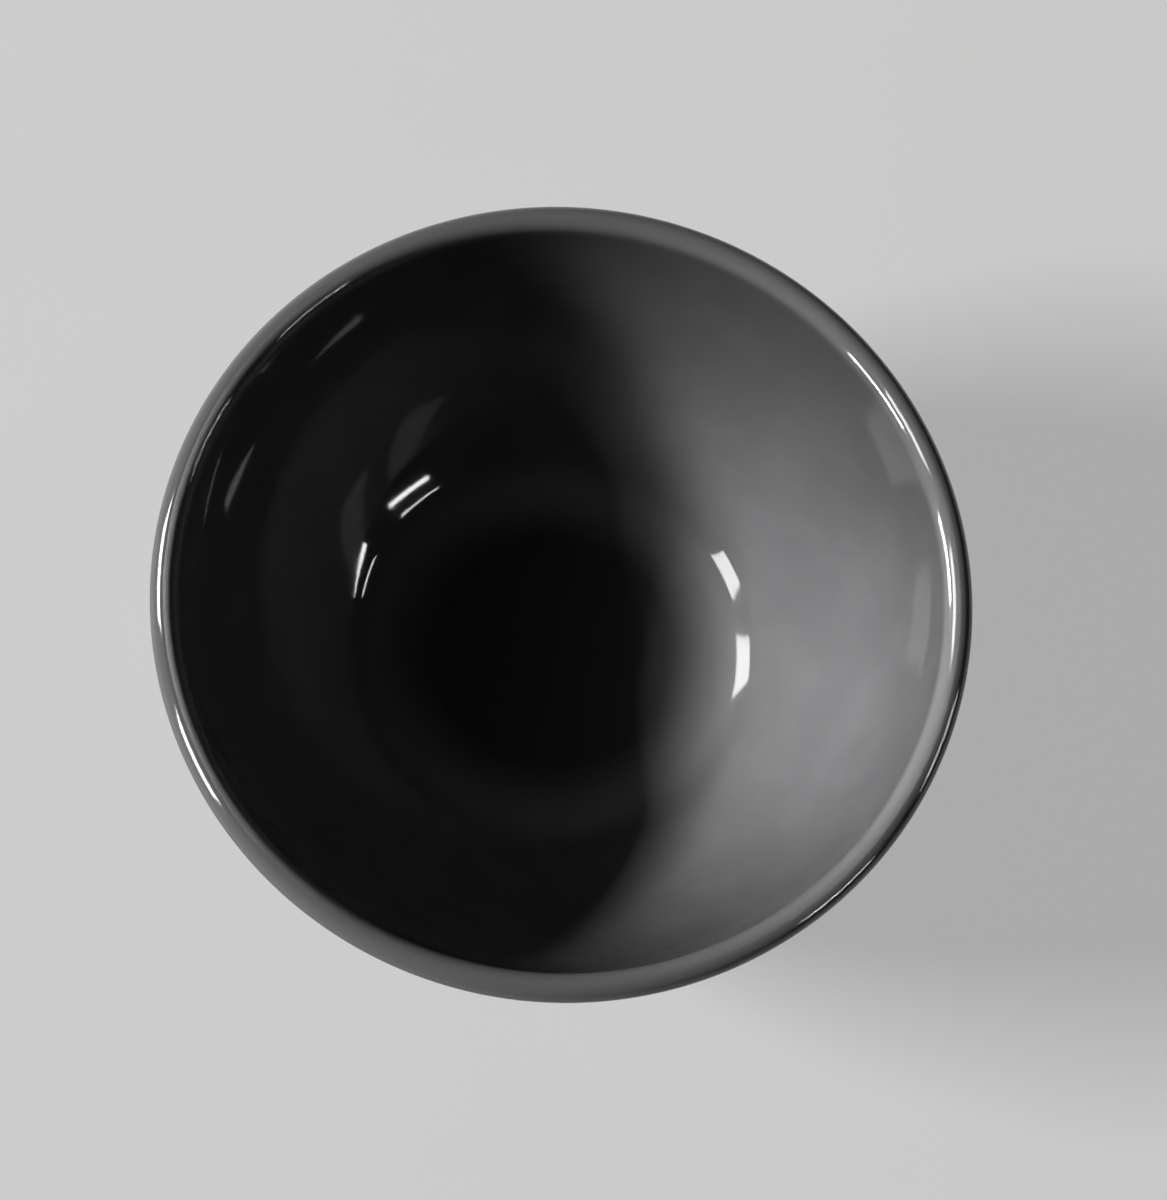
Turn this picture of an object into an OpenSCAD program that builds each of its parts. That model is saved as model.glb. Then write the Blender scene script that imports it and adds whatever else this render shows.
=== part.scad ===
// Round black-glazed bowl on a turned foot ring.
// One fired clay body carries three coats of glaze: inside, outside and in the recess under the foot.

/* [Bowl] */
// Diameter across the glazed lip
rim_d = 130; // [118:1:144]
// Depth inside, from the top of the lip to the glazed floor
depth = 44; // [40:0.5:48]
// Radius of the flat floor inside
floor_r = 28.5; // [26:0.5:31]
// Radius of the cove that joins the floor to the wall
cove_r = 12; // [9:0.5:15]
// Thickness of the rounded lip, glaze included
lip_t = 4.5; // [4:0.1:5.5]
// Slope of the inner wall where it meets the lip, in degrees from level
inner_slope = 80; // [78:0.5:82]
// Slope of the outer wall where it meets the lip, in degrees from level
outer_slope = 84; // [82:0.5:86]

/* [Foot] */
// Diameter of the foot ring where it meets the outer wall
foot_d = 64; // [60:1:68]
// Height of the foot ring
foot_h = 6; // [5:0.5:7]
// Width of the face that the foot ring stands on
foot_w = 4.4; // [3.5:0.1:5.5]
// How far each side of the foot ring leans in towards its standing face
foot_lean = 1; // [0.5:0.1:1.5]
// Bevel on the two edges of the standing face
foot_bevel = 0.7; // [0.3:0.1:1]
// Depth of the recess inside the foot ring
well_depth = 5; // [4:0.5:5.5]
// Clay between the recess and the inner glaze
floor_t = 5.6; // [5:0.1:6.5]

/* [Glaze] */
// Thickness of each coat of glaze
glaze_t = 0.4; // [0.3:0.05:0.6]
// Height of the bare clay left between the foot ring and the outer glaze
bare_band = 3; // [2:0.5:5]
// Bare clay left around the glaze in the recess
well_margin = 2; // [1:0.5:4]

/* [Hidden] */
$fn = 96;
// Straight steps that stand for each arc of the outline
arc_steps = 20;
// Turn of the outline at the top of the lip, where it runs level and faces up
crest_turn = 180;

clay_colour = [0.56, 0.45, 0.35];
glaze_colour = [0.06, 0.055, 0.06];

floor_z = well_depth + floor_t + glaze_t;
height = floor_z + depth;
lip_r = lip_t / 2;
core_r = lip_r - glaze_t;
lip_c = [rim_d / 2 - lip_r, height - lip_r];

// Inner wall: an arc that leaves the lip at inner_slope and runs smoothly into the cove
cove_c = [floor_r, floor_z + cove_r];
wall_top = lip_c - lip_r * facing(inner_slope);
wall_span = wall_top - cove_c;
wall_r = (wall_span * wall_span - cove_r ^ 2) / (2 * (wall_span * facing(inner_slope) - cove_r));
wall_c = wall_top - wall_r * facing(inner_slope);
cove_slope = slope_of(cove_c - wall_c);

// Outer wall: an arc that leaves the lip at outer_slope and ends at the foot ring
foot_top = [foot_d / 2, foot_h];
outer_top = lip_c + core_r * facing(outer_slope);
outer_span = outer_top - foot_top;
outer_r = outer_span * outer_span / (2 * (outer_span * facing(outer_slope)));
outer_c = outer_top - outer_r * facing(outer_slope);
foot_slope = slope_of(foot_top - outer_c);
glaze_slope = acos((outer_c.y - foot_h - bare_band) / outer_r);

foot_out_r = foot_d / 2 - foot_lean;
foot_in_r = foot_out_r - foot_w;
well_r = foot_in_r - foot_lean;

// The way a surface of slope s faces when it looks away from the inside of the bowl
function facing(s) = [sin(s), -cos(s)];

// The slope of a surface that faces along v
function slope_of(v) = atan2(v.x, -v.y);

// Points of an arc about c from slope s0 to slope s1, after its first point
function arc(c, r, s0, s1) =
    [for (i = [1:arc_steps]) c + r * facing(s0 + (s1 - s0) * i / arc_steps)];

function reversed(points) = [for (i = [len(points) - 1:-1:0]) points[i]];

// Outline of the inside from the axis to the top of the lip, sunk this far below the glaze
function inside_line(sunk) = concat(
    [[0, floor_z - sunk], [floor_r, floor_z - sunk]],
    arc(cove_c, cove_r + sunk, 0, cove_slope),
    arc(wall_c, wall_r + sunk, cove_slope, inner_slope),
    arc(lip_c, lip_r - sunk, crest_turn + inner_slope, crest_turn));

// Outline of the outside from the top of the lip to the glaze line, raised this far off the clay
function outside_line(raised) = concat(
    [lip_c + [0, core_r + raised]],
    arc(lip_c, core_r + raised, crest_turn, outer_slope),
    arc(outer_c, outer_r + raised, outer_slope, glaze_slope));

// Outline of the bare clay from the glaze line round the foot ring to the axis
function foot_line() = concat(
    arc(outer_c, outer_r, glaze_slope, foot_slope),
    [[foot_out_r, foot_bevel],
     [foot_out_r - foot_bevel, 0],
     [foot_in_r + foot_bevel, 0],
     [foot_in_r, foot_bevel],
     [well_r, well_depth],
     [0, well_depth]]);

function without_first(points) = [for (i = [1:len(points) - 1]) points[i]];

// Wall, floor, lip core and foot ring, turned and fired as one piece
module clay_body() {
    color(clay_colour)
        rotate_extrude()
            polygon(concat(inside_line(glaze_t), without_first(outside_line(0)), foot_line()));
}

// Coat poured inside, from the floor up to the top of the lip
module inner_glaze() {
    color(glaze_colour)
        rotate_extrude()
            polygon(concat(inside_line(0), reversed(inside_line(glaze_t))));
}

// Coat dipped outside, from the top of the lip down to the glaze line above the foot
module outer_glaze() {
    color(glaze_colour)
        rotate_extrude()
            polygon(concat(outside_line(glaze_t), reversed(outside_line(0))));
}

// Coat on the roof of the recess inside the foot ring
module foot_well_glaze() {
    color(glaze_colour)
        translate([0, 0, well_depth - glaze_t])
            cylinder(r = well_r - well_margin, h = glaze_t);
}

clay_body();
inner_glaze();
outer_glaze();
foot_well_glaze();
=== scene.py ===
# %% [markdown]
# # A black-glazed bowl
# The bowl is one piece of fired clay under a hard, glossy black glaze.
# The construction comes first: its solids give the true sizes, and everything here is drawn over them.
# Each piece is turned again with finer steps, because a mirror-like surface shows every flat facet.

# %% Load the construction
import math

import bmesh
import bpy
from mathutils import Matrix, Vector


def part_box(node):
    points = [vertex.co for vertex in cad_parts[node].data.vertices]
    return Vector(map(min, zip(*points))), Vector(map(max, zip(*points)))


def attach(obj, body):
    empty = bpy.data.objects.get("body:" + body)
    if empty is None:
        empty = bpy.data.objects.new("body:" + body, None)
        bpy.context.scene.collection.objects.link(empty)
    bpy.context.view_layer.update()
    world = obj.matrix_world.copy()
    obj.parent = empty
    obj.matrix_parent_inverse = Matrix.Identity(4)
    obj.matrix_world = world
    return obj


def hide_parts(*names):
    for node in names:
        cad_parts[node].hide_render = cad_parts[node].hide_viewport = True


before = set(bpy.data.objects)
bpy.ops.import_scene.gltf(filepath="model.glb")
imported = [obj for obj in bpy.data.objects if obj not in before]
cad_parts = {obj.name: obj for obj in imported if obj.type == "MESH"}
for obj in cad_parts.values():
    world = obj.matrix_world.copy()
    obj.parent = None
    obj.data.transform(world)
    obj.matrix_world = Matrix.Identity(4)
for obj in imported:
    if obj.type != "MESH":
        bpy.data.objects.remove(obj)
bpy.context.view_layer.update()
MM = 0.001

# %% [markdown]
# ## The outline
# A turned bowl is fully described by half of its section.
# Its inside is a flat floor, a cove and one long arc, and the lip is a full round.
# The overall sizes are read from the solids, so that a change there carries through to here.
# A box can't give the radius of an arc, the slope of a wall or the sizes of the foot,
# so those are repeated from the construction.

# %% Sizes
def half_width(node):
    low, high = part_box(node)
    return max(high.x - low.x, high.y - low.y) / 2


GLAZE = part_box("foot_well_glaze")[1].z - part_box("foot_well_glaze")[0].z
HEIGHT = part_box("outer_glaze")[1].z
RIM_R = half_width("outer_glaze")
LIP_R = RIM_R - half_width("inner_glaze")
CORE_R = LIP_R - GLAZE
FLOOR_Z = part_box("inner_glaze")[0].z + GLAZE
WELL_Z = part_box("foot_well_glaze")[1].z
GLAZE_LINE_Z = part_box("outer_glaze")[0].z
FLOOR_R = 28.5 * MM
COVE_R = 12 * MM
INNER_SLOPE = 80
OUTER_SLOPE = 84
FOOT_TOP_R = 32 * MM
FOOT_H = 6 * MM
print(f"rim {RIM_R / MM:.2f}, lip {LIP_R / MM:.2f}, height {HEIGHT / MM:.2f} mm")
print(f"glaze {GLAZE / MM:.2f} mm thick")


# %% Arcs of the section
def facing(slope):
    """The way a wall of this slope, in degrees from level, faces when it looks outwards."""
    return Vector((math.sin(math.radians(slope)), 0, -math.cos(math.radians(slope))))


def slope_of(way):
    return math.degrees(math.atan2(way.x, -way.z))


lip_c = Vector((RIM_R - LIP_R, 0, HEIGHT - LIP_R))
cove_c = Vector((FLOOR_R, 0, FLOOR_Z + COVE_R))
wall_top = lip_c - LIP_R * facing(INNER_SLOPE)
wall_span = wall_top - cove_c
wall_reach = wall_span.dot(facing(INNER_SLOPE)) - COVE_R
wall_r = (wall_span.dot(wall_span) - COVE_R**2) / (2 * wall_reach)
wall_c = wall_top - wall_r * facing(INNER_SLOPE)
cove_slope = slope_of(cove_c - wall_c)

foot_top = Vector((FOOT_TOP_R, 0, FOOT_H))
outer_top = lip_c + CORE_R * facing(OUTER_SLOPE)
outer_span = outer_top - foot_top
outer_r = outer_span.dot(outer_span) / (2 * outer_span.dot(facing(OUTER_SLOPE)))
outer_c = outer_top - outer_r * facing(OUTER_SLOPE)
foot_slope = slope_of(foot_top - outer_c)
glaze_slope = math.degrees(math.acos((outer_c.z - GLAZE_LINE_Z) / (outer_r + GLAZE)))
print(f"inside wall of radius {wall_r / MM:.1f} mm, from slope {cove_slope:.1f}")
print(f"outside wall of radius {outer_r / MM:.1f} mm, from slope {foot_slope:.1f}")

# %% [markdown]
# ## Turning a section
# The Screw modifier could turn an outline too, but the arcs in it would need a tool of their own.
# The spin operator works on single points as well as on outlines, so it does both jobs here.
# It swings the tip of the line about a centre to draw an arc, and then swings the whole line about the axis.
# Where the line meets the axis, all its copies fall on one point, and merging doubles closes the pole.

# %% A line for the lathe
class LatheLine:
    """Half a section in the XZ plane, drawn from its tip and then turned about Z."""

    STEPS = 288

    def __init__(self, start):
        self.bm = bmesh.new()
        self.tip = self.first = self.bm.verts.new(start)

    def to(self, point):
        corner = self.bm.verts.new(point)
        self.bm.edges.new((self.tip, corner))
        self.tip = corner
        return self

    def arc(self, centre, degrees, steps):
        swung = bmesh.ops.spin(
            self.bm,
            geom=[self.tip],
            cent=centre,
            axis=(0, -1, 0),
            angle=math.radians(degrees),
            steps=steps,
        )
        self.tip = next(part for part in swung["geom_last"] if isinstance(part, bmesh.types.BMVert))
        return self

    def close(self):
        self.bm.edges.new((self.tip, self.first))
        return self

    def turn(self):
        bmesh.ops.spin(
            self.bm,
            geom=self.bm.verts[:] + self.bm.edges[:],
            cent=(0, 0, 0),
            axis=(0, 0, 1),
            angle=math.tau,
            steps=self.STEPS,
            use_merge=True,
        )
        bmesh.ops.remove_doubles(self.bm, verts=self.bm.verts, dist=0.002 * MM)
        bmesh.ops.recalc_face_normals(self.bm, faces=self.bm.faces)
        return self.bm


# %% A finished piece
SHARP_CORNER = math.radians(35)


def piece_from(bm, name, node):
    """Puts a finished mesh in the scene in place of a CAD node."""
    mesh = bpy.data.meshes.new(name)
    bm.to_mesh(mesh)
    bm.free()
    mesh.shade_smooth()
    mesh.set_sharp_from_angle(angle=SHARP_CORNER)
    piece = bpy.data.objects.new(name, mesh)
    bpy.context.scene.collection.objects.link(piece)
    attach(piece, "root")
    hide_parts(node)
    print(name, "has", len(mesh.polygons), "faces")
    return piece


# %% [markdown]
# ## The inner glaze
# A potter pours glaze into the bowl and tips it out, which leaves an even coat from the floor to the lip.
# It could be a copy of the clay's face moved outwards, but then its edge at the lip would be left open.
# So it is drawn as a thin closed skin: up along its face, across its edge at the top of the lip,
# and back down against the clay. A short straight stretch at the rim of the floor keeps the floor truly flat.

# %% Inner glaze
FLOOR_EDGE = 0.6 * MM
inner_line = LatheLine((0, 0, FLOOR_Z))
inner_line.to((FLOOR_R - FLOOR_EDGE, 0, FLOOR_Z)).to((FLOOR_R, 0, FLOOR_Z))
inner_line.arc(cove_c, cove_slope, 18)
inner_line.arc(wall_c, INNER_SLOPE - cove_slope, 44)
inner_line.arc(lip_c, -INNER_SLOPE, 22)
inner_line.to(lip_c + Vector((0, 0, CORE_R)))
inner_line.arc(lip_c, INNER_SLOPE, 8)
inner_line.arc(wall_c, cove_slope - INNER_SLOPE, 14)
inner_line.arc(cove_c, -cove_slope, 6)
inner_line.to((0, 0, FLOOR_Z - GLAZE))
inner_glaze = piece_from(inner_line.turn(), "inner_coat", "inner_glaze")

# %% [markdown]
# ## The outer glaze
# The outside is dipped, held by the foot, so the coat stops at a line above the foot ring.
# Wet glaze draws back into a small roll there and never ends in a perfect circle.
# A noise texture could shift the edge in the material, but the edge has thickness and shows in outline.
# So the lowest part of the coat itself is swung up a little, by three waves that run round the bowl.

# %% Outer glaze
LINE_SWING = 0.35 * MM
SWING_REACH = 5 * MM
LINE_WAVES = ((3, 0.5, 1), (7, 0.3, 0), (11, 0.2, 2))
outer_line = LatheLine((lip_c.x, 0, HEIGHT))
outer_line.arc(lip_c, OUTER_SLOPE - 180, 26)
outer_line.arc(outer_c, glaze_slope - OUTER_SLOPE, 48)
outer_line.arc(outer_c + (outer_r + GLAZE / 2) * facing(glaze_slope), -180, 8)
outer_line.arc(outer_c, OUTER_SLOPE - glaze_slope, 16)
outer_line.arc(lip_c, 180 - OUTER_SLOPE, 8)
outer_mesh = outer_line.close().turn()
hub = Vector((0, 0, outer_c.z))
for vert in outer_mesh.verts:
    near_line = max(0, 1 - (vert.co.z - GLAZE_LINE_Z) / SWING_REACH)
    turn = math.atan2(vert.co.y, vert.co.x)
    wave = sum(share * math.sin(count * turn + shift) for count, share, shift in LINE_WAVES)
    swing = LINE_SWING * (wave + 1) / 2 * near_line**2 / outer_r
    across = Vector((-math.sin(turn), math.cos(turn), 0))
    vert.co = hub + Matrix.Rotation(-swing, 3, across) @ (vert.co - hub)
outer_glaze = piece_from(outer_mesh, "outer_coat", "outer_glaze")

# %% [markdown]
# ## The clay body
# Clay shows only below the glaze line: a narrow band, the foot ring and the edge of the recess inside it.
# The foot could be turned alone, but the glaze needs something to lie on, so the whole body is turned.
# The two standing edges are rounded by a bevel, as a potter does with a wet sponge.

# %% Clay body
FOOT_LEAN = 1 * MM
FOOT_W = 4.4 * MM
FOOT_ROUND = 0.8 * MM
SAME = 0.01 * MM
foot_out = FOOT_TOP_R - FOOT_LEAN
foot_in = foot_out - FOOT_W
well_r = foot_in - FOOT_LEAN
clay_line = LatheLine((0, 0, WELL_Z))
clay_line.to((well_r, 0, WELL_Z)).to((foot_in, 0, 0)).to((foot_out, 0, 0)).to(foot_top)
clay_line.arc(outer_c, glaze_slope - foot_slope, 10)
clay_line.arc(outer_c, OUTER_SLOPE - glaze_slope, 16)
clay_line.arc(lip_c, 180 - OUTER_SLOPE, 8)
clay_line.arc(lip_c, INNER_SLOPE, 8)
clay_line.arc(wall_c, cove_slope - INNER_SLOPE, 14)
clay_line.arc(cove_c, -cove_slope, 6)
clay_line.to((0, 0, FLOOR_Z - GLAZE))
clay_mesh = clay_line.turn()
standing_edges = [
    edge
    for edge in clay_mesh.edges
    if all(abs(vert.co.z) < SAME for vert in edge.verts)
    and abs(edge.verts[0].co.xy.length - edge.verts[1].co.xy.length) < SAME
]
bmesh.ops.bevel(
    clay_mesh,
    geom=standing_edges,
    affect="EDGES",
    offset=FOOT_ROUND,
    segments=4,
    profile=0.5,
    material=-1,
)
clay_body = piece_from(clay_mesh, "clay_bowl", "clay_body")

# %% [markdown]
# ## The coat in the recess
# A brushful of glaze seals the clay under the bowl, well clear of the ring that stands on the table.
# A flat disc would do for its face, but its edge is seen when the bowl is turned over.
# So the edge is drawn as a half round, the way a pool of glass ends.

# %% Glaze inside the foot
WELL_POOL_R = half_width("foot_well_glaze")
well_line = LatheLine((0, 0, WELL_Z))
well_line.to((WELL_POOL_R - GLAZE / 2, 0, WELL_Z))
well_line.arc((WELL_POOL_R - GLAZE / 2, 0, WELL_Z - GLAZE / 2), -180, 8)
well_line.to((0, 0, WELL_Z - GLAZE))
foot_well = piece_from(well_line.turn(), "foot_pool", "foot_well_glaze")

# %% [markdown]
# ## Writing shaders as sums
# A material is a graph of nodes, but most of it is plain arithmetic.
# A small class wraps a socket, so that ordinary Python operators add the Math nodes,
# and one method adds any other node by its type, its settings and its inputs.

# %% Sockets that can be added and multiplied
class Shade:
    """An output socket of a node, with arithmetic."""

    def __init__(self, tree, socket):
        self.tree = tree
        self.socket = socket

    @classmethod
    def node(cls, tree, kind, settings=None, out=0, **inputs):
        """Adds a node. An input is named with _ for a space, or numbered as _0, _1 and so on."""
        node = tree.nodes.new(kind)
        for name, value in (settings or {}).items():
            setattr(node, name, value)
        for name, value in inputs.items():
            key = int(name[1:]) if name[0] == "_" else name.replace("_", " ")
            cls.feed(tree, node.inputs[key], value)
        return cls(tree, node.outputs[out])

    @staticmethod
    def feed(tree, socket, value):
        if isinstance(value, Shade):
            tree.links.new(value.socket, socket)
        else:
            socket.default_value = value

    def math(self, operation, first, second):
        settings = {"operation": operation}
        return Shade.node(self.tree, "ShaderNodeMath", settings, _0=first, _1=second)

    def __add__(self, other):
        return self.math("ADD", self, other)

    def __sub__(self, other):
        return self.math("SUBTRACT", self, other)

    def __rsub__(self, other):
        return self.math("SUBTRACT", other, self)

    def __mul__(self, other):
        return self.math("MULTIPLY", self, other)

    __radd__ = __add__
    __rmul__ = __mul__

    def step(self, low, high):
        """Runs smoothly from 0 at low to 1 at high."""
        return Shade.node(
            self.tree,
            "ShaderNodeMapRange",
            {"interpolation_type": "SMOOTHSTEP"},
            Value=self,
            From_Min=low,
            From_Max=high,
        )

    def between(self, first, second):
        """Mixes two colours by this value."""
        settings = {"data_type": "RGBA"}
        return Shade.node(
            self.tree, "ShaderNodeMix", settings, out=2, Factor=self, _6=first, _7=second
        )


# %% A material and its coordinates
def new_material(name):
    """Makes a material with a Principled shader, and returns it with its tree and that shader."""
    material = bpy.data.materials.new(name)
    material.use_nodes = True
    tree = material.node_tree
    return material, tree, tree.nodes["Principled BSDF"]


def object_place(tree):
    return Shade.node(tree, "ShaderNodeTexCoord", out="Object")


def height_at(tree, place):
    return Shade.node(tree, "ShaderNodeSeparateXYZ", out="Z", Vector=place)


def radius_at(tree, place):
    """The distance from the bowl's axis."""
    flat = Shade.node(
        tree, "ShaderNodeVectorMath", {"operation": "MULTIPLY"}, _0=place, _1=(1, 1, 0)
    )
    return Shade.node(tree, "ShaderNodeVectorMath", {"operation": "LENGTH"}, out="Value", _0=flat)


# %% Noise, cells and bumps
def noise(tree, place, size, detail=2.0, rough=0.5):
    """Noise whose features are about this many metres across."""
    return Shade.node(
        tree, "ShaderNodeTexNoise", Vector=place, Scale=1 / size, Detail=detail, Roughness=rough
    )


def cells(tree, place, size):
    """The distance to the nearest of many scattered points, in parts of this size."""
    settings = {"feature": "F1"}
    return Shade.node(
        tree, "ShaderNodeTexVoronoi", settings, out="Distance", Vector=place, Scale=1 / size
    )


def bumps(tree, shader, height):
    """Sends a height in metres to the shader's normal."""
    bump = Shade.node(tree, "ShaderNodeBump", Height=height, Distance=1.0, Strength=1.0)
    Shade.feed(tree, shader.inputs["Normal"], bump)


def dress(piece, material):
    piece.data.materials.clear()
    piece.data.materials.append(material)


# %% [markdown]
# ## Black glaze
# This is iron glaze: a black glass as thick as a fingernail, and not quite black where light strikes it.
# It settles in slow waves with a faint orange-peel on top, and here and there a bubble left a pinhole.
# All of it is far too shallow to model, so it goes into the bump and into a slight change of roughness.
# The top of the lip is painted paler, a painted light. The floor inside is painted darker, a painted shade,
# with a paler ring round it, a painted light, and years of washing have dulled its mirror a little.
# One function makes both coats, so that they differ only in their blacks and in how strongly they mirror.

# %% Painted shade on the floor, painted light on its ring
# A painted shade for the floor, and a painted light for the ring round it.
FLOOR_PAINTED_SHADE = (0.054, 0.054, 0.055, 1)
RING_PAINTED_LIGHT = (0.136, 0.135, 0.137, 1)


def with_floor_shade_and_ring_light(tree, place, coat):
    """Lays a painted shade on the floor and a painted light in a ring round it over a coat's colour."""
    radius = radius_at(tree, place)
    wall = radius.step(FLOOR_R - 4 * MM, FLOOR_R + 4 * MM)
    ring_light_in = radius.step(FLOOR_R - 9 * MM, FLOOR_R + 0.5 * MM)
    ring_light_out = 1 - radius.step(FLOOR_R + 1 * MM, FLOOR_R + 7 * MM)
    return (ring_light_in * ring_light_out).between(wall.between(FLOOR_PAINTED_SHADE, coat), RING_PAINTED_LIGHT)


# %% A coat of glaze
# A painted light for the top of the lip.
LIP_PAINTED_LIGHT = (0.172, 0.170, 0.169, 1)
GLAZE_IOR = 1.45
CLOUD_SIZE = 9 * MM
WAVE_SIZE = 22 * MM
WAVE_HEIGHT = 0.018 * MM
PEEL_SIZE = 1.4 * MM
PEEL_HEIGHT = 0.0009 * MM
PIT_SPACING = 7 * MM
PIT_DEPTH = 0.03 * MM


def black_glaze(name, black, clouded, mirror, paint_floor_shade_and_ring_light=False):
    """Makes a coat of glaze from its two blacks and how strongly it mirrors, with a painted light on the lip.
    """
    glaze, tree, shader = new_material(name)
    place = object_place(tree)
    cloud = noise(tree, place, CLOUD_SIZE, detail=4.0).step(0.35, 0.7)
    coat = cloud.between(black, clouded)
    # Inside, the floor gets a painted shade and a ring round it gets a painted light.
    if paint_floor_shade_and_ring_light:
        coat = with_floor_shade_and_ring_light(tree, place, coat)
    # The top of the lip is painted paler: a painted light.
    lip_light = height_at(tree, place).step(HEIGHT - 3.2 * MM, HEIGHT - 0.4 * MM)
    Shade.feed(tree, shader.inputs["Base Color"], lip_light.between(coat, LIP_PAINTED_LIGHT))
    pit = 1 - cells(tree, place, PIT_SPACING).step(0.012, 0.04)
    Shade.feed(tree, shader.inputs["Roughness"], 0.045 + 0.03 * cloud + 0.25 * pit)
    wave = noise(tree, place, WAVE_SIZE, detail=0.0)
    peel = noise(tree, place, PEEL_SIZE, detail=1.0)
    bumps(tree, shader, wave * WAVE_HEIGHT + peel * PEEL_HEIGHT - pit * PIT_DEPTH)
    shader.inputs["IOR"].default_value = GLAZE_IOR
    shader.inputs["Specular IOR Level"].default_value = mirror
    print(name, "has", len(tree.nodes), "nodes")
    return glaze


# %% Glaze on the pieces
# The inside blacks are lighter than the outside ones: the glaze's own black with a painted light added.
INSIDE_BLACK_AND_PAINTED_LIGHT = (0.074, 0.074, 0.076, 1)
INSIDE_CLOUDED_AND_PAINTED_LIGHT = (0.082, 0.082, 0.084, 1)
INSIDE_MIRROR = 0.2
OUTSIDE_BLACK = (0.028, 0.028, 0.029, 1)
OUTSIDE_CLOUDED = (0.034, 0.034, 0.035, 1)
OUTSIDE_MIRROR = 0.4
inside_glaze_with_painted_light = black_glaze(
    "glaze_inside_with_painted_light", INSIDE_BLACK_AND_PAINTED_LIGHT, INSIDE_CLOUDED_AND_PAINTED_LIGHT, INSIDE_MIRROR, paint_floor_shade_and_ring_light=True
)
outside_glaze_with_painted_light = black_glaze("glaze_outside_with_painted_light", OUTSIDE_BLACK, OUTSIDE_CLOUDED, OUTSIDE_MIRROR)
dress(inner_glaze, inside_glaze_with_painted_light)
dress(outer_glaze, outside_glaze_with_painted_light)
dress(foot_well, outside_glaze_with_painted_light)

# %% [markdown]
# ## Fired clay
# Stoneware clay fires to a toasted buff, darker where flame and glaze vapour reached it near the glaze.
# It carries dark iron specks, and the turning tool leaves fine rings and drags grit through the surface.
# Rings could follow the height alone, but that would leave the flat under the foot without any.
# So the ring pattern is driven by the distance from the axis plus the height.

# %% Fired clay
CLAY_BUFF = (0.36, 0.26, 0.18, 1)
CLAY_PALE = (0.46, 0.36, 0.27, 1)
CLAY_TOAST = (0.20, 0.115, 0.07, 1)
CLAY_IRON = (0.06, 0.035, 0.025, 1)
PATCH_SIZE = 6 * MM
GRIT_SIZE = 0.5 * MM
GRIT_HEIGHT = 0.05 * MM
RING_SIZE = 0.7 * MM
RING_HEIGHT = 0.06 * MM
SPECK_SPACING = 1.8 * MM
SPECK_DEPTH = 0.02 * MM
clay, tree, shader = new_material("fired_clay")
place = object_place(tree)
height = height_at(tree, place)
turned = Shade.node(tree, "ShaderNodeCombineXYZ", X=radius_at(tree, place) + height)
patches = noise(tree, place, PATCH_SIZE, detail=4.0)
grit = noise(tree, place, GRIT_SIZE, detail=3.0, rough=0.65)
rings = noise(tree, turned, RING_SIZE, detail=2.0)
specks = 1 - (cells(tree, place, SPECK_SPACING) + patches * 0.2).step(0.2, 0.26)
halo = (height + patches * (1.2 * MM)).step(GLAZE_LINE_Z - 2.2 * MM, GLAZE_LINE_Z + 0.6 * MM)
body = patches.step(0.35, 0.65).between(CLAY_BUFF, CLAY_PALE)
toasted = (halo * 0.85).between(body, CLAY_TOAST)
Shade.feed(tree, shader.inputs["Base Color"], (specks * 0.8).between(toasted, CLAY_IRON))
Shade.feed(tree, shader.inputs["Roughness"], 0.74 + 0.16 * grit)
bumps(tree, shader, grit * GRIT_HEIGHT + rings * RING_HEIGHT - specks * SPECK_DEPTH)
dress(clay_body, clay)
print("fired_clay has", len(tree.nodes), "nodes")

# %% [markdown]
# ## Camera
# The bowl is seen from high up, almost along its axis, with the camera rolled a little.
# A Track To constraint would aim the camera but can't roll it, so its three axes are written out.
# Its place comes from the outline of the lip and from how far the floor sits off the lip's middle.

# %% Camera
CAMERA_FAR = 380 * MM
CAMERA_RISE = math.radians(74.6)
CAMERA_ROLL = math.radians(13)
PIXELS_PER_MM = 6.374
PHOTO_WIDTH = 1167
LOOK_AT = Vector((3.27, -1.84, 55)) * MM
back = Vector((0, -math.cos(CAMERA_RISE), math.sin(CAMERA_RISE)))
level_up = Vector((0, math.sin(CAMERA_RISE), math.cos(CAMERA_RISE)))
right = math.cos(CAMERA_ROLL) * Vector((1, 0, 0)) + math.sin(CAMERA_ROLL) * level_up
up = back.cross(right)
axes = Matrix((right, up, back)).transposed().to_4x4()
camera_data = bpy.data.cameras.new("camera")
camera_data.sensor_fit = "HORIZONTAL"
view_width = PHOTO_WIDTH / PIXELS_PER_MM * MM
camera_data.lens = camera_data.sensor_width * CAMERA_FAR / view_width
camera_data.clip_start = 0.01
camera = bpy.data.objects.new("camera", camera_data)
camera.matrix_world = Matrix.Translation(LOOK_AT + CAMERA_FAR * back) @ axes
bpy.context.scene.collection.objects.link(camera)
bpy.context.scene.camera = camera
print(f"lens {camera_data.lens:.1f} mm, view {view_width / MM:.0f} mm wide at the lip")

# %% [markdown]
# ## Floor
# The bowl stands on a pale, faintly mottled board that is large enough to fill every view.
# Lamps could light it up to white, but they would light the bowl as much, so half of the board's brightness
# comes from a glow that only the camera and the gloss see. The other half still takes the bowl's shadow.
# It lies a hair below the foot, because two faces in one plane flicker.

# %% Board
BOARD_HALF = 6.0
BOARD_DROP = 0.02 * MM
board_mesh = bmesh.new()
bmesh.ops.create_grid(board_mesh, x_segments=8, y_segments=8, size=BOARD_HALF)
bmesh.ops.translate(board_mesh, verts=board_mesh.verts, vec=(0, 0, -BOARD_DROP))
board_data = bpy.data.meshes.new("board")
board_mesh.to_mesh(board_data)
board_mesh.free()
board = bpy.data.objects.new("board", board_data)
bpy.context.scene.collection.objects.link(board)
print(f"board {2 * BOARD_HALF:.0f} m across")

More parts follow.
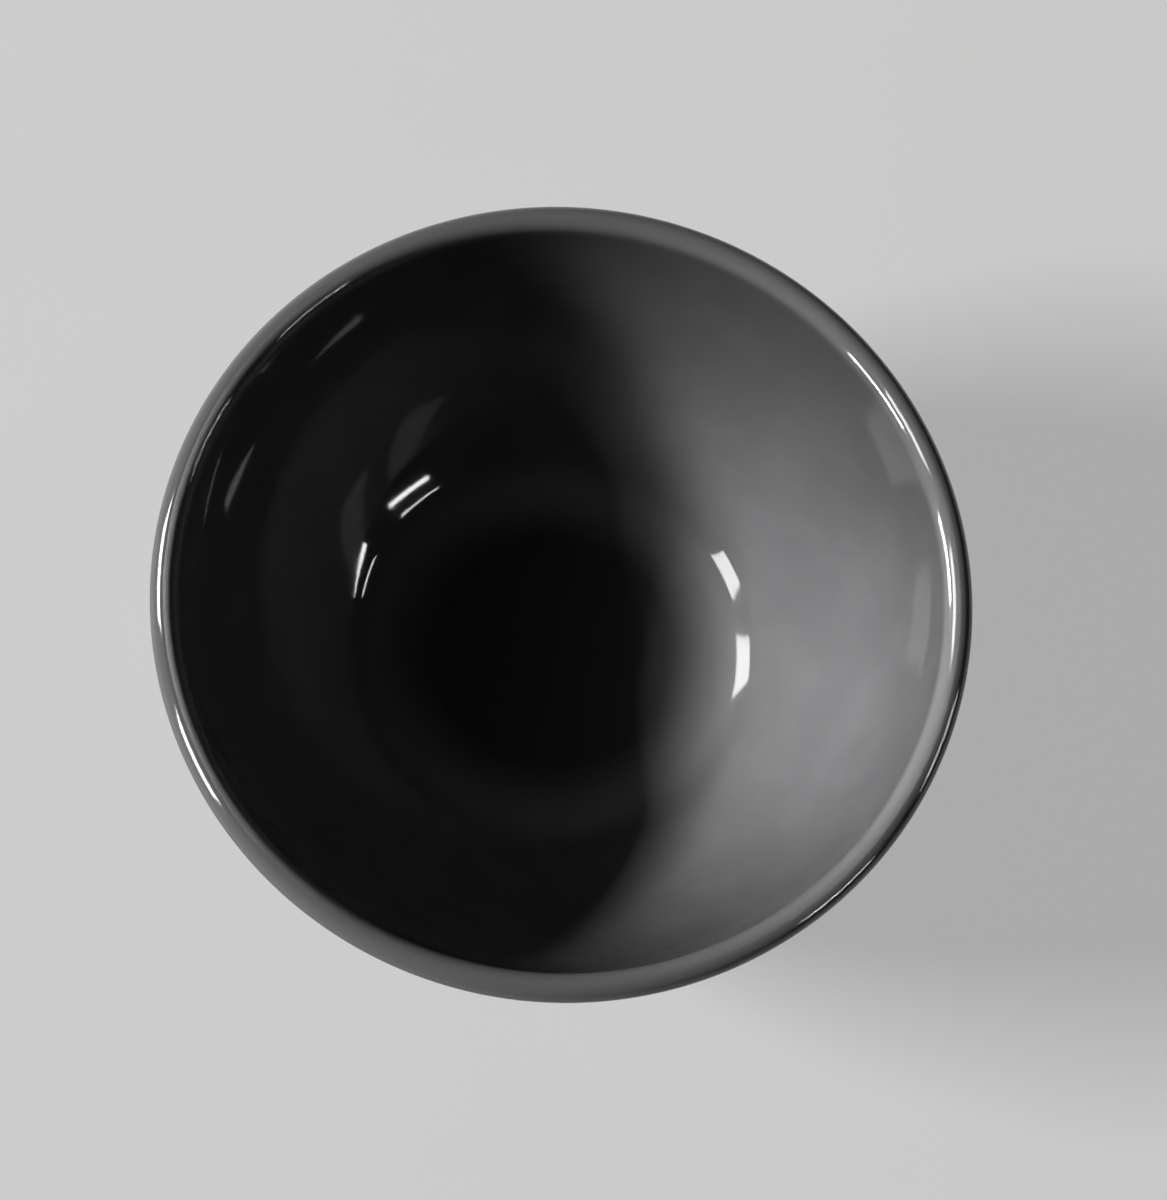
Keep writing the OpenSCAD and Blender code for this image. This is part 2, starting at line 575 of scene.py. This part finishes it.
# %% Board paint
BOARD_PALE = (0.75, 0.75, 0.745, 1)
BOARD_MOTTLE = (0.71, 0.71, 0.70, 1)
BOARD_GLOW = (0.80, 0.80, 0.795, 1)
BOARD_LIFT = 0.5
MOTTLE_SIZE = 40 * MM
board_paint, tree, shader = new_material("pale_board")
mottle = noise(tree, object_place(tree), MOTTLE_SIZE, detail=3.0)
Shade.feed(tree, shader.inputs["Base Color"], mottle.between(BOARD_PALE, BOARD_MOTTLE))
shader.inputs["Roughness"].default_value = 0.9
shader.inputs["Specular IOR Level"].default_value = 0.0
to_camera = Shade.node(tree, "ShaderNodeLightPath", out="Is Camera Ray")
to_gloss = Shade.node(tree, "ShaderNodeLightPath", out="Is Glossy Ray")
lift = (to_camera + to_gloss) * BOARD_LIFT
painted = Shade(tree, shader.outputs[0])
glow = Shade.node(tree, "ShaderNodeEmission", Color=BOARD_GLOW)
lifted = Shade.node(tree, "ShaderNodeMixShader", _0=lift, _1=painted, _2=glow)
Shade.feed(tree, tree.nodes["Material Output"].inputs["Surface"], lifted)
dress(board, board_paint)
print("pale_board has", len(tree.nodes), "nodes")

# %% [markdown]
# ## The room
# The world is what the glaze mirrors where no lamp stands, so an even grey would veil its black.
# It is almost dark, a little lighter near the horizon, and pale only where the camera looks straight at it.

# %% World
SKY_LOW = 0.0102
SKY_HIGH = 0.0008
BACKGROUND = 0.80
world = bpy.data.worlds.new("studio")
world.use_nodes = True
bpy.context.scene.world = world
tree = world.node_tree
way = Shade.node(tree, "ShaderNodeTexCoord", out="Generated")
seen = Shade.node(tree, "ShaderNodeLightPath", out="Is Camera Ray")
sky = SKY_LOW + (SKY_HIGH - SKY_LOW) * height_at(tree, way).step(0.02, 0.45)
room = tree.nodes["Background"]
room.inputs["Color"].default_value = (1, 1, 1, 1)
Shade.feed(tree, room.inputs["Strength"], seen * (BACKGROUND - sky) + sky)
print(f"room from {SKY_LOW} at the horizon to {SKY_HIGH} overhead")

# %% [markdown]
# ## Light on the bowl
# A key lamp low at the left lights the wall opposite, and the rim on its own side shades the floor.
# Two weak fills stand for the light that comes back from the room.
# Lamps could be dragged into place, but angles are easier to think about: each lamp is set by where the bowl
# sees it and by how bright it looks, where 1 is white, and its size and its power follow.
# A black mirror would show these lamps as large patches, so they are hidden from the gloss.

# %% Setting lamps by angle
def toward(azimuth, rise):
    """The way to a lamp, in degrees round from +X and degrees above level."""
    around, above = math.radians(azimuth), math.radians(rise)
    level = Vector((math.cos(around), math.sin(around), 0))
    return math.cos(above) * level + Vector((0, 0, math.sin(above)))


def hang(name, data, aim, far, way, tilt=0):
    """Hangs a lamp at this distance from its aim, turned to face it, and hides it from the camera."""
    side = Vector((0, 0, 1)).cross(way).normalized()
    turned = Matrix((side, way.cross(side), way)).transposed()
    turned = turned @ Matrix.Rotation(math.radians(tilt), 3, "Z")
    light = bpy.data.objects.new(name, data)
    light.matrix_world = Matrix.Translation(aim + far * way) @ turned.to_4x4()
    light.visible_camera = False
    bpy.context.scene.collection.objects.link(light)
    return light


def panel(name, far, azimuth, rise, across, tall, tilt, glow):
    """Hangs a rectangular lamp that faces the middle of the mouth, with its angles in degrees."""
    data = bpy.data.lights.new(name, "AREA")
    data.shape = "RECTANGLE"
    data.size = far * math.radians(across)
    data.size_y = far * math.radians(tall)
    data.energy = glow * math.pi * data.size * data.size_y
    print(f"{name}: {data.energy:.1f} W")
    return hang(name, data, Vector((0, 0, HEIGHT)), far, toward(azimuth, rise), tilt)


# %% Key and fills
SOFT_FAR = 4.0
for light in (
    panel("key", SOFT_FAR, azimuth=192, rise=26.7, across=18, tall=4.7, tilt=0, glow=143),
    panel("fill_low", SOFT_FAR, azimuth=35, rise=14, across=90, tall=20, tilt=0, glow=0.21),
    panel("fill_high", SOFT_FAR, azimuth=35, rise=45, across=70, tall=36, tilt=0, glow=0.065),
):
    light.visible_glossy = False

# %% [markdown]
# ## Lamps in the gloss
# A glossy coat draws each lamp as a dash along its curves: short in the tight cove, long and thin on the lip.
# Brighter soft lamps would give dashes too, but would wash out the black.
# So these lamps light only the gloss.
# Two windows stand at the left, and two pairs of narrow strips at the right.
# Two sills stand lower than the windows. The rim hides them from the cove,
# but the lip mirrors them as thin lines.
# The sills are linked to the inner coat, because the outside would mirror them as large patches.

# %% Windows and strips
GLOSS_FAR = 8.0
for name, azimuth, rise, across, tall, tilt, glow in (
    ("window_a", 168.5, 46.5, 11.6, 22, 20, 47),
    ("window_b", 201, 46.5, 10.8, 22, 15, 47),
    ("strip_a_low", 338, 26.5, 14.3, 1.3, -15, 70),
    ("strip_a_high", 338, 33, 13.4, 2.5, -18, 41),
    ("strip_b_low", 6.5, 23, 14.7, 1.3, 0, 65),
    ("strip_b_high", 8, 33.7, 11.7, 2.5, 20, 41),
):
    light = panel(name, GLOSS_FAR, azimuth, rise, across, tall, tilt, glow)
    light.visible_diffuse = False

# %% Sills
SILL_FOOT = 0.5
SILL_GLOW = 150
inside_only = bpy.data.collections.new("inside_only")
inside_only.objects.link(inner_glaze)
for name, azimuth, across, top in (("sill_a", 182.5, 14.5, 21), ("sill_b", 215.5, 17, 16.5)):
    middle, tall = (top + SILL_FOOT) / 2, top - SILL_FOOT
    light = panel(name, GLOSS_FAR, azimuth, middle, across, tall, 0, SILL_GLOW)
    light.visible_diffuse = False
    light.light_linking.receiver_collection = inside_only

# %% [markdown]
# ## A pool of light
# Light from a window falls across a room in a pool with a soft edge, and here it falls into the bowl.
# One brighter key would light the rim and the board as much, so narrow spots aim at six places inside.
# They light the inner coat alone.
# Each place has a row of spots, one above the other. The rim cuts each spot off a little differently,
# and together they give the shadow its soft edge.
# A place is given in mm, with the way its light comes from, the width of its cone in degrees and its level,
# which is how bright a white card would look there.

# %% Pool
POOL_FAR = 2.0
POOL_BULB = 22 * MM
POOL_RISES = (23.7, 25.0, 26.3, 27.6, 28.9)
POOL_PLACES = (
    ("right_wall", (47.4, -7.5, 19), 185, 2.5, 2.35),
    ("far_wall", (36, 30, 20), 193, 2.5, 0.57),
    ("far_cove", (17, 29, 14), 213, 1.5, 0.75),
    ("far_cove_end", (13, 30.5, 13), 213, 0.9, 0.45),
    ("below_lip_near", (58.3, -21.2, 48), 186, 1.3, 0.6),
    ("below_lip_far", (61.4, 8.6, 48), 188, 1.3, 0.55),
)
for where, aim, azimuth, cone, level in POOL_PLACES:
    for rise in POOL_RISES:
        data = bpy.data.lights.new("pool", "SPOT")
        data.spot_size = math.radians(cone)
        data.spot_blend = 1.0
        data.shadow_soft_size = POOL_BULB
        data.energy = level / len(POOL_RISES) * 4 * math.pi**2 * POOL_FAR**2
        light = hang("pool", data, Vector(aim) * MM, POOL_FAR, toward(azimuth, rise))
        light.visible_glossy = False
        light.light_linking.receiver_collection = inside_only
    print(f"{where}: {len(POOL_RISES)} spots, level {level}")

# %% [markdown]
# ## Finish
# The plain Standard view shows a colour as it is written.

# %% Finish
bpy.context.scene.view_settings.view_transform = "Standard"
